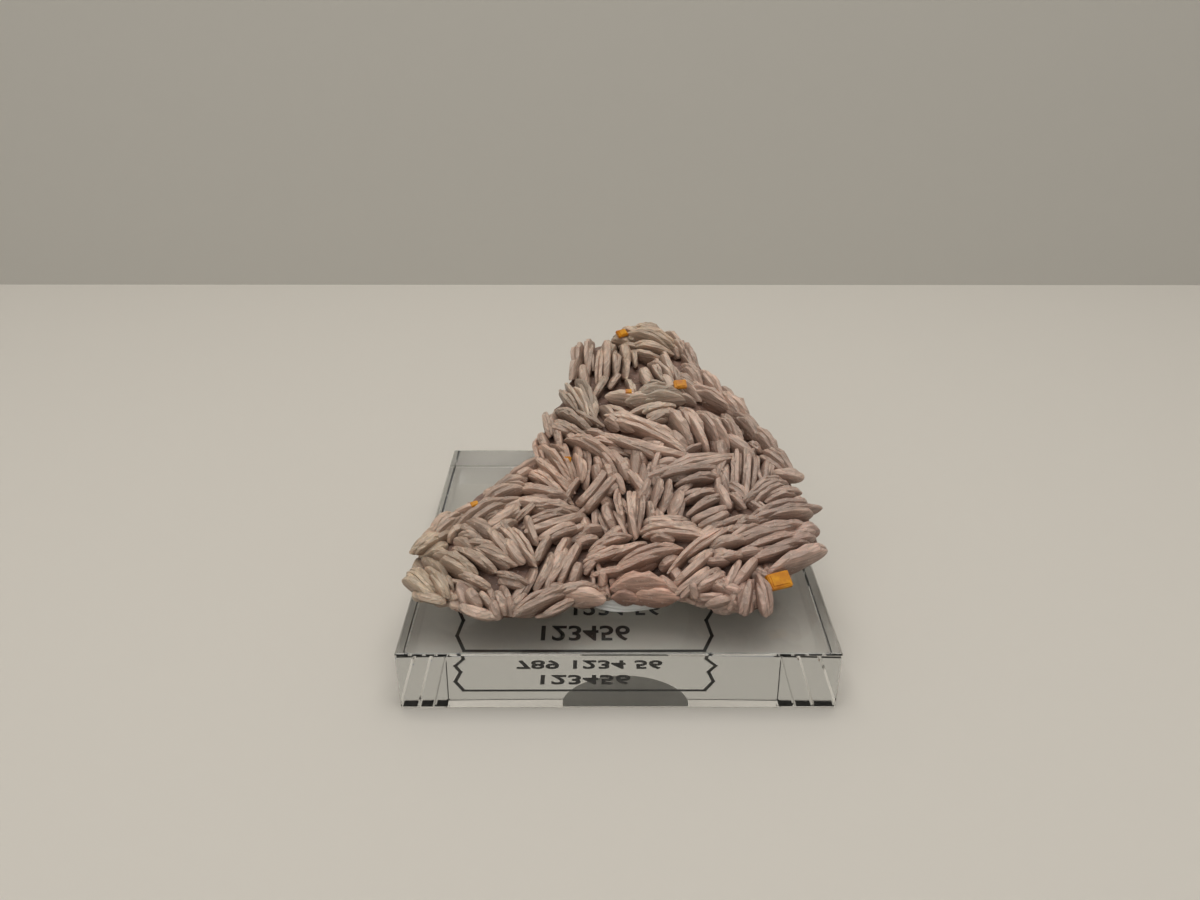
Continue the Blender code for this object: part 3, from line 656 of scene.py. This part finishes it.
def plate(length, height, thickness, bluntness, dice):
    """One plate of a blade: X along, Y across and Z out.

    Gives its points, and for each its share of the height, its nearness to an end and its grain.
    """
    along = np.sin(np.linspace(-0.5, 0.5, PLATE_STATIONS) * math.pi)
    envelope = np.clip(1.0 - np.abs(along) ** bluntness, 0.0, 1.0) ** PLATE_FULLNESS
    waves = np.zeros(PLATE_STATIONS)
    for rate in PLATE_WAVES:
        size = dice.uniform(*PLATE_WAVE_SIZE)
        waves += size * np.sin(along * rate + dice.uniform(*PLATE_WAVE_START))
    crest = height / 2 * envelope * (1.0 + PLATE_RAGGED * waves)
    keel = -height / 2 * envelope
    half = thickness / 2 * (PLATE_END_THICKNESS + (1.0 - PLATE_END_THICKNESS) * np.sqrt(envelope))
    bend = dice.uniform(-PLATE_BEND, PLATE_BEND) * length
    sides, ups = np.array(PLATE_SECTION).T
    share = (ups + 1.0) / 2.0
    stretch = PLATE_FOOT_LENGTH + (1.0 - PLATE_FOOT_LENGTH) * share
    x = (along * length / 2)[:, None] * stretch[None, :]
    y = half[:, None] * sides[None, :] + (bend * (along * along - PLATE_BEND_REST))[:, None]
    z = keel[:, None] + (crest - keel)[:, None] * share[None, :]
    rings = np.stack((x, y, z), axis=-1).reshape(-1, 3)
    tip = (PLATE_TIP_REACH * length, bend * (1.0 - PLATE_BEND_REST), 0.0)
    points = np.concatenate((rings, ((-tip[0], tip[1], tip[2]), tip)))
    shares = np.concatenate((np.tile(share, PLATE_STATIONS), (0.5, 0.5)))
    ends = np.abs(np.concatenate((np.repeat(along, len(PLATE_SECTION)), (1.0, 1.0))))
    drift = dice.uniform(0.0, GRAIN_DRIFT)
    grain = np.stack((points[:, 0], points[:, 2] + points[:, 1]), axis=-1) / MM + drift
    return points, shares, ends, grain


def plate_colours(tint, light, shares, ends):
    """The colours of a plate's points: painted shade deep in the crevices, and painted light at the
    crest and the ends.
    """
    rise = shares[:, None] ** CREST_POWER
    # Painted shade towards the keel, and painted light towards the crest and the thin ends
    painted_shade_share = (1.0 - rise) * CREVICE_PAINTED_SHADE_SHARE
    body = np.array(tint)[None, :] * (KEEL_PAINTED_SHADE + CREST_PAINTED_LIGHT_GAIN * rise) * light
    colour = np.array(CREVICE_PAINTED_SHADE_TINT)[None, :] * painted_shade_share + body * (1.0 - painted_shade_share)
    colour = colour * (1.0 + END_PAINTED_LIGHT_GAIN * ends[:, None] ** END_POWER)
    return np.concatenate((np.clip(colour, 0.0, 1.0), np.ones((len(colour), 1))), axis=1)


def bundle(cluster, centre, along, out, size, tint, dice, bluntness=BLADE_BLUNTNESS):
    """A blade as a bundle of nearly parallel plates, fullest in its middle."""
    length, height, thickness = size
    count = max(1, round(thickness / (PLATE_THICKNESS * MM)))
    each = PLATE_OVERLAP * thickness / count
    side = out.cross(along)
    turn = np.array((along, side, out)).T
    shade = dice.uniform(*BLADE_SHADES)
    lowest = 1.0
    made = []
    for number in range(count):
        place = 0.0 if count == 1 else 2.0 * number / (count - 1) - 1.0
        taper = 1.0 - BLADE_TAPER * abs(place) ** BLADE_TAPER_POWER
        points, shares, ends, grain = plate(
            length * taper * dice.uniform(*PLATE_LENGTHS),
            height * dice.uniform(*PLATE_HEIGHTS),
            each * dice.uniform(*PLATE_THICKNESSES),
            bluntness * dice.uniform(*PLATE_BLUNTNESSES),
            dice,
        )
        yaw = dice.uniform(-PLATE_SPLAY, PLATE_SPLAY)
        pitch = dice.uniform(-PLATE_SPLAY, PLATE_SPLAY)
        roll = dice.uniform(-PLATE_SPLAY, PLATE_SPLAY) - PLATE_FAN * place
        spin = Matrix.Rotation(yaw, 3, "Z") @ Matrix.Rotation(pitch, 3, "Y")
        spin = np.array(spin @ Matrix.Rotation(roll, 3, "X"))
        slide = dice.uniform(-PLATE_SLIDE, PLATE_SLIDE) * length
        drop = PLATE_DROP * height * abs(place) * dice.uniform(*PLATE_DROPS)
        shift = np.array((slide, place * (thickness - each) / 2, -drop))
        points = (points @ spin.T + shift) @ turn.T + np.array(centre)
        light = shade * dice.uniform(*PLATE_SHADES)
        lowest = min(lowest, points[:, 2].min())
        made.append((points, grain, plate_colours(tint, light, shares, ends)))
    lift = np.array((0.0, 0.0, min(max(0.0, CLUSTER_LOWEST - lowest), BLADE_LIFT_MOST)))
    for points, grain, colours in made:
        points = points + lift
        points[:, 2] = np.maximum(points[:, 2], CLUSTER_LOWEST)
        cluster.add(points, len(PLATE_SECTION), grain, colours)


def face_blade(cluster, row, dice, sunk=0.0, bluntness=BLADE_BLUNTNESS):
    """One blade laid on the face, and sunk along the line of sight."""
    u1, v1, u2, v2, thickness, lean = row
    start = face_point(u1, v1)
    end = face_point(u2, v2)
    along = (end - start).normalized()
    length = (end - start).length
    height = min(max(BLADE_HEIGHT_SHARE * length, BLADE_HEIGHT_LEAST * MM), BLADE_HEIGHT_MOST * MM)
    middle = (start + end) / 2
    sight = (VIEWPOINT - middle).normalized()
    out = turned_out(along, FACE_NORMAL + sight)
    across = along.cross(out)
    if across.dot(FACE_V + FACE_U * BLADE_LEAN_TO_RIGHT) < 0:
        across = -across
    angle = math.radians(lean)
    out = (out * math.cos(angle) + across * math.sin(angle)).normalized()
    centre = middle - sight * (BLADE_SINK * height + sunk)
    tint = zone_tint((u1 + u2) / 2, (v1 + v2) / 2)
    bundle(cluster, centre, along, out, (length, height, thickness * MM), tint, dice, bluntness)


def inside(u, v):
    """Whether u, v is inside the outline."""
    odd = False
    for (from_u, from_v), (to_u, to_v) in zip(OUTLINE, OUTLINE[1:] + OUTLINE[:1]):
        if (from_v > v) != (to_v > v):
            if u < (to_u - from_u) * (v - from_v) / (to_v - from_v) + from_u:
                odd = not odd
    return odd


def nearest(rows, u, v):
    """The row of a blade whose middle is nearest to u, v."""

    def distance(row):
        return math.hypot((row[0] + row[2]) / 2 - u, (row[1] + row[3]) / 2 - v)

    return min(rows, key=distance)


def face_fill(rows):
    """Small blades sunk between the given ones, each along its nearest neighbour."""
    dice = random.Random(FACE_FILL_SEED)
    cluster = Cluster()
    made = 0
    while made < FACE_FILL_COUNT:
        u = dice.uniform(*FACE_FILL_U)
        v = dice.uniform(*FACE_FILL_V)
        u1, v1, u2, v2, _, lean = nearest(rows, u, v)
        angle = math.atan2(v2 - v1, u2 - u1) + dice.uniform(-FACE_FILL_TURN, FACE_FILL_TURN)
        half = dice.uniform(*FACE_FILL_LENGTH) / 2
        across, up = half * math.cos(angle), half * math.sin(angle)
        if not (inside(u - across, v - up) and inside(u + across, v + up)):
            continue
        made += 1
        thickness = dice.uniform(*FACE_FILL_THICKNESS)
        lean += dice.uniform(-FACE_FILL_LEAN, FACE_FILL_LEAN)
        row = (u - across, v - up, u + across, v + up, thickness, lean)
        face_blade(cluster, row, dice, dice.uniform(*FACE_FILL_SUNK) * MM)
    return cluster


def core_floor(y):
    """Height of the core's underside at y, both in metres."""
    places = [place * MM for place, _ in CORE_FLOOR]
    heights = [height * MM for _, height in CORE_FLOOR]
    return float(np.interp(y, places, heights))


def core_point(corner, out, up):
    """A point of the core, the share out on the way to a corner, and up from its floor."""
    spoke_u, spoke_v = corner[0] - CORE_MIDDLE[0], corner[1] - CORE_MIDDLE[1]
    reach = math.hypot(spoke_u, spoke_v)
    share = out * (reach - CORE_INSET) / reach
    top = face_point(CORE_MIDDLE[0] + share * spoke_u, CORE_MIDDLE[1] + share * spoke_v, -CORE_SINK)
    floor = min(core_floor(top.y), top.z - CORE_LEAST * MM)
    point = Vector((top.x, top.y, floor + (top.z - floor) * up))
    for size, amount in CORE_LUMPS:
        point += noise.noise_vector(point / (size * MM)) * amount * MM
    point.z = max(point.z, CLUSTER_LOWEST)
    return point


def rim_place(share):
    """The place on the outline that is a share of the way round its corners."""
    place = share * len(OUTLINE)
    first = OUTLINE[int(place) % len(OUTLINE)]
    second = OUTLINE[(int(place) + 1) % len(OUTLINE)]
    part = place - math.floor(place)
    return (
        first[0] * (1 - part) + second[0] * part,
        first[1] * (1 - part) + second[1] * part,
    )


def core():
    """The dark rock between and behind the blades."""
    noise.seed_set(CORE_SEED)
    rises = np.linspace(*CORE_SIDE_SPAN, CORE_SIDE_RINGS)
    profile = [(out, 1.0) for out in np.linspace(*CORE_TOP_SPAN, CORE_RINGS)]
    profile += [(1.0 - CORE_TUCK * (1.0 - up), up) for up in rises]
    profile += [(out, 0.0) for out in np.linspace(*CORE_UNDER_SPAN, CORE_RINGS)]
    corners = [rim_place(step / CORE_AROUND) for step in range(CORE_AROUND)]
    points = [core_point(corner, out, up) for out, up in profile for corner in corners]
    points += [core_point(OUTLINE[0], 0.0, up) for up in (1.0, 0.0)]
    points = np.array([tuple(point) for point in points])
    grain = points[:, :2] / MM
    tint = np.ones((len(points), 4))
    tint[:, :3] = CORE_TINT
    cluster = Cluster()
    cluster.add(points, CORE_AROUND, grain, tint)
    return cluster


def side_fill():
    """Blades round the rim, the sides and the underside, which point outwards."""
    noise.seed_set(CORE_SEED)
    dice = random.Random(SIDE_FILL_SEED)
    middle = face_point(*CORE_MIDDLE, -SIDE_FILL_DEPTH)
    cluster = Cluster()
    for number in range(SIDE_FILL_COUNT):
        corner = rim_place((number + dice.uniform(-0.5, 0.5)) / SIDE_FILL_COUNT % 1.0)
        rise = dice.choice(SIDE_FILL_RISES)
        reach = SIDE_FILL_SEAT if rise > 0.0 else dice.uniform(*SIDE_FILL_UNDER_SEATS)
        seat = core_point(corner, reach, rise)
        out = (seat - middle).normalized()
        if rise == 0.0:
            out = (out + Vector((0.0, 0.0, -SIDE_FILL_DOWN))).normalized()
        sweep = Vector((-out.y, out.x, dice.uniform(-SIDE_FILL_SWEEP, SIDE_FILL_SWEEP)))
        length = dice.uniform(*SIDE_FILL_LENGTH) * MM
        thickness = dice.uniform(*SIDE_FILL_THICKNESS) * MM
        tint = zone_tint(*corner)
        size = (length, SIDE_FILL_HEIGHT_SHARE * length, thickness)
        bundle(cluster, seat, turned_out(out, sweep), out, size, tint, dice)
    return cluster


def lobe(rows):
    """The given blades, on the face."""
    dice = random.Random(BLADE_SEED)
    cluster = Cluster()
    for row in rows:
        face_blade(cluster, row, dice, 0.0, BAR_BLUNTNESS if row in BARS else BLADE_BLUNTNESS)
    return cluster


def base_slab(finish):
    """The clear slab with bevelled edges. Gives the height of its top."""
    low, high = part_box("base_slab")
    shape = bmesh.new()
    bmesh.ops.create_cube(shape, size=1.0)
    bmesh.ops.scale(shape, vec=high - low, verts=shape.verts)
    bmesh.ops.translate(shape, vec=(low + high) / 2, verts=shape.verts)
    bmesh.ops.bevel(
        shape, geom=shape.edges[:], offset=BASE_EDGE, segments=2, profile=0.5, affect="EDGES"
    )
    piece(from_bmesh("clear_base", shape), finish, "base_slab")
    return high.z


def print_line(shape, start, end, width):
    """A thin bar of ink from start to end."""
    along = end - start
    across = Vector((-along.y, along.x, 0.0)).normalized() * width / 2
    reach = along.normalized() * width / 2
    bar = bmesh.ops.create_cube(shape, size=1.0)["verts"]
    upright = Vector((0.0, 0.0, PRINT_THICKNESS))
    sides = Matrix((along + 2 * reach, 2 * across, upright)).transposed().to_4x4()
    bmesh.ops.transform(shape, matrix=Matrix.Translation((start + end) / 2) @ sides, verts=bar)


def label_print(finish):
    """The frame and the digits, just inside the slab's underside, to be read from below."""
    shape = bmesh.new()
    height = PRINT_LOW + PRINT_THICKNESS / 2
    corners = [Vector((x * MM, y * MM, height)) for x, y in PRINT_FRAME]
    for start, end in zip(corners, corners[1:] + corners[:1]):
        print_line(shape, start, end, PRINT_LINE)
    for words, size, (x, y) in PRINT_ROWS:
        curve = bpy.data.curves.new("digits", "FONT")
        curve.body = words
        curve.size = size * MM
        curve.align_x = "CENTER"
        curve.align_y = "CENTER"
        curve.extrude = PRINT_THICKNESS / 2
        curve.offset = PRINT_BOLD
        text = linked("digits", curve)
        bpy.context.view_layer.update()
        drawn = text.evaluated_get(bpy.context.evaluated_depsgraph_get())
        flat = bpy.data.meshes.new_from_object(drawn)
        mirror = Matrix.Diagonal((1.0, -1.0, 1.0, 1.0))
        flat.transform(Matrix.Translation((x * MM, y * MM, height)) @ mirror)
        flat.flip_normals()
        shape.from_mesh(flat)
        bpy.data.objects.remove(text)
    piece(from_bmesh("label_print", shape), finish, "label")


def putty(top, finish):
    """The pressed pad: an uneven oval with a layered rim."""
    noise.seed_set(PUTTY_SEED)
    low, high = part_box("putty")
    centre = (low + high) / 2
    across, along = (high.x - low.x) / 2, (high.y - low.y) / 2
    shape = bmesh.new()
    rings = []
    for share, height in PUTTY_PROFILE:
        ring = []
        for step in range(PUTTY_SIDES):
            angle = 2 * math.pi * step / PUTTY_SIDES
            around = (math.cos(angle) * PUTTY_WAVES_AROUND, math.sin(angle) * PUTTY_WAVES_AROUND)
            wave = noise.noise((*around, height * PUTTY_WAVES_UP))
            reach = share * (1.0 + PUTTY_WAVE_OUT * wave)
            x = centre.x + math.cos(angle) * across * reach
            y = centre.y + math.sin(angle) * along * reach
            z = top + (height + PUTTY_WAVE_LIFT * wave * min(1.0, height)) * MM
            ring.append(shape.verts.new((x, y, z)))
        rings.append(ring)
    for ring, following in zip(rings, rings[1:]):
        for here in range(PUTTY_SIDES):
            there = (here + 1) % PUTTY_SIDES
            shape.faces.new((ring[here], ring[there], following[there], following[here]))
    shape.faces.new(list(reversed(rings[0])))
    shape.faces.new(rings[-1])
    bmesh.ops.recalc_face_normals(shape, faces=shape.faces)
    pad = from_bmesh("putty_pad", shape)
    pad.data.shade_smooth()
    piece(pad, finish, "putty")


def wulfenites(finish):
    """Oblong tablets with stepped, chamfered faces, one for each packed crystal."""
    for name, (u, v, height, side, thickness, turn, tip) in WULFENITES.items():
        dice = random.Random(name)
        shape = bmesh.new()
        for share, layer in WULFENITE_STEPS:
            slab = bmesh.ops.create_cube(shape, size=1.0)["verts"]
            for vertex in slab:
                wide = side * share * dice.uniform(*WULFENITE_UNEVEN)
                deep = side * share * WULFENITE_WIDTH_SHARE * dice.uniform(*WULFENITE_UNEVEN)
                x, y, z = vertex.co
                vertex.co = Vector((x * wide, y * deep, z * thickness * layer)) * MM
        chamfer = WULFENITE_CHAMFER * thickness * MM
        bmesh.ops.bevel(shape, geom=shape.edges[:], offset=chamfer, segments=2, affect="EDGES")
        spin = Matrix.Rotation(math.radians(turn), 4, "Z")
        spin = spin @ Matrix.Rotation(math.radians(tip), 4, "X")
        shape.transform(Matrix.Translation(face_point(u, v, height)) @ spin)
        piece(from_bmesh(f"{name}_crystal", shape), finish, name)


def card(name, tint, tip, place):
    """One large square card, tipped up by an angle."""
    shape = bmesh.new()
    bmesh.ops.create_grid(shape, x_segments=1, y_segments=1, size=STAGE_REACH)
    bmesh.ops.rotate(shape, matrix=Matrix.Rotation(tip, 3, "X"), verts=shape.verts)
    bmesh.ops.translate(shape, vec=place, verts=shape.verts)
    made = from_bmesh(name, shape)
    made.data.materials.append(card_material(f"{name}_card", tint))
    return made


def stage():
    """A pale floor just under the base, and a pale wall behind it."""
    ground = card("floor", FLOOR_TINT, 0.0, (0.0, WALL_PLACE - STAGE_REACH, -STAGE_DROP))
    back = card("wall", WALL_TINT, math.pi / 2, (0.0, WALL_PLACE, STAGE_REACH - STAGE_DROP))


def lights():
    world = bpy.data.worlds.new("room")
    bpy.context.scene.world = world
    world.use_nodes = True
    sky = world.node_tree.nodes["Background"]
    sky.inputs["Color"].default_value = (*WORLD_TINT, 1.0)
    sky.inputs["Strength"].default_value = WORLD_STRENGTH
    for name, place, target, size, power, tint in LAMPS:
        data = bpy.data.lights.new(name, "AREA")
        data.shape = "SQUARE"
        data.size = size
        data.energy = power
        data.color = tint
        lamp = linked(name, data)
        lamp.location = place
        aim = Vector(target) - Vector(place)
        lamp.rotation_euler = aim.to_track_quat("-Z", "Y").to_euler()


def camera():
    data = bpy.data.cameras.new("camera")
    data.lens = CAMERA_LENS
    data.sensor_width = CAMERA_SENSOR
    data.clip_start = CAMERA_NEAREST
    made = linked("camera", data)
    made.location = CAMERA_PLACE
    made.rotation_euler = CAMERA_TURN
    bpy.context.scene.camera = made
    bpy.context.scene.view_settings.view_transform = "Standard"


def build():
    camera()
    lights()
    stage()
    top = base_slab(acrylic_material())
    label_print(ink_material())
    putty(top, putty_material())
    wulfenites(wulfenite_material())
    rock = barite_material()
    rows = LEFT_LOBE + RIGHT_LOBE + TOP_LOBE
    parts = {
        "barite_core": core(),
        "barite_left_lobe": lobe(LEFT_LOBE),
        "barite_right_lobe": lobe(RIGHT_LOBE),
        "barite_top_lobe": lobe(TOP_LOBE),
        "barite_small_blades": face_fill(rows),
        "barite_side_blades": side_fill(),
    }
    for name, cluster in parts.items():
        piece(cluster.make(name), rock, "barite_cluster")


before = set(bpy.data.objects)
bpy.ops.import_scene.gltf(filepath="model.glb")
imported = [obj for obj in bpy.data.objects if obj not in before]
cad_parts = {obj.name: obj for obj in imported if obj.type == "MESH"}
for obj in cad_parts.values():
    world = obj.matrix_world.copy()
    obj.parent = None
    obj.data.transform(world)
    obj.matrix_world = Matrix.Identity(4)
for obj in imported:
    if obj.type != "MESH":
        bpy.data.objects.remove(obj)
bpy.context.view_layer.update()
build()
bpy.context.view_layer.update()
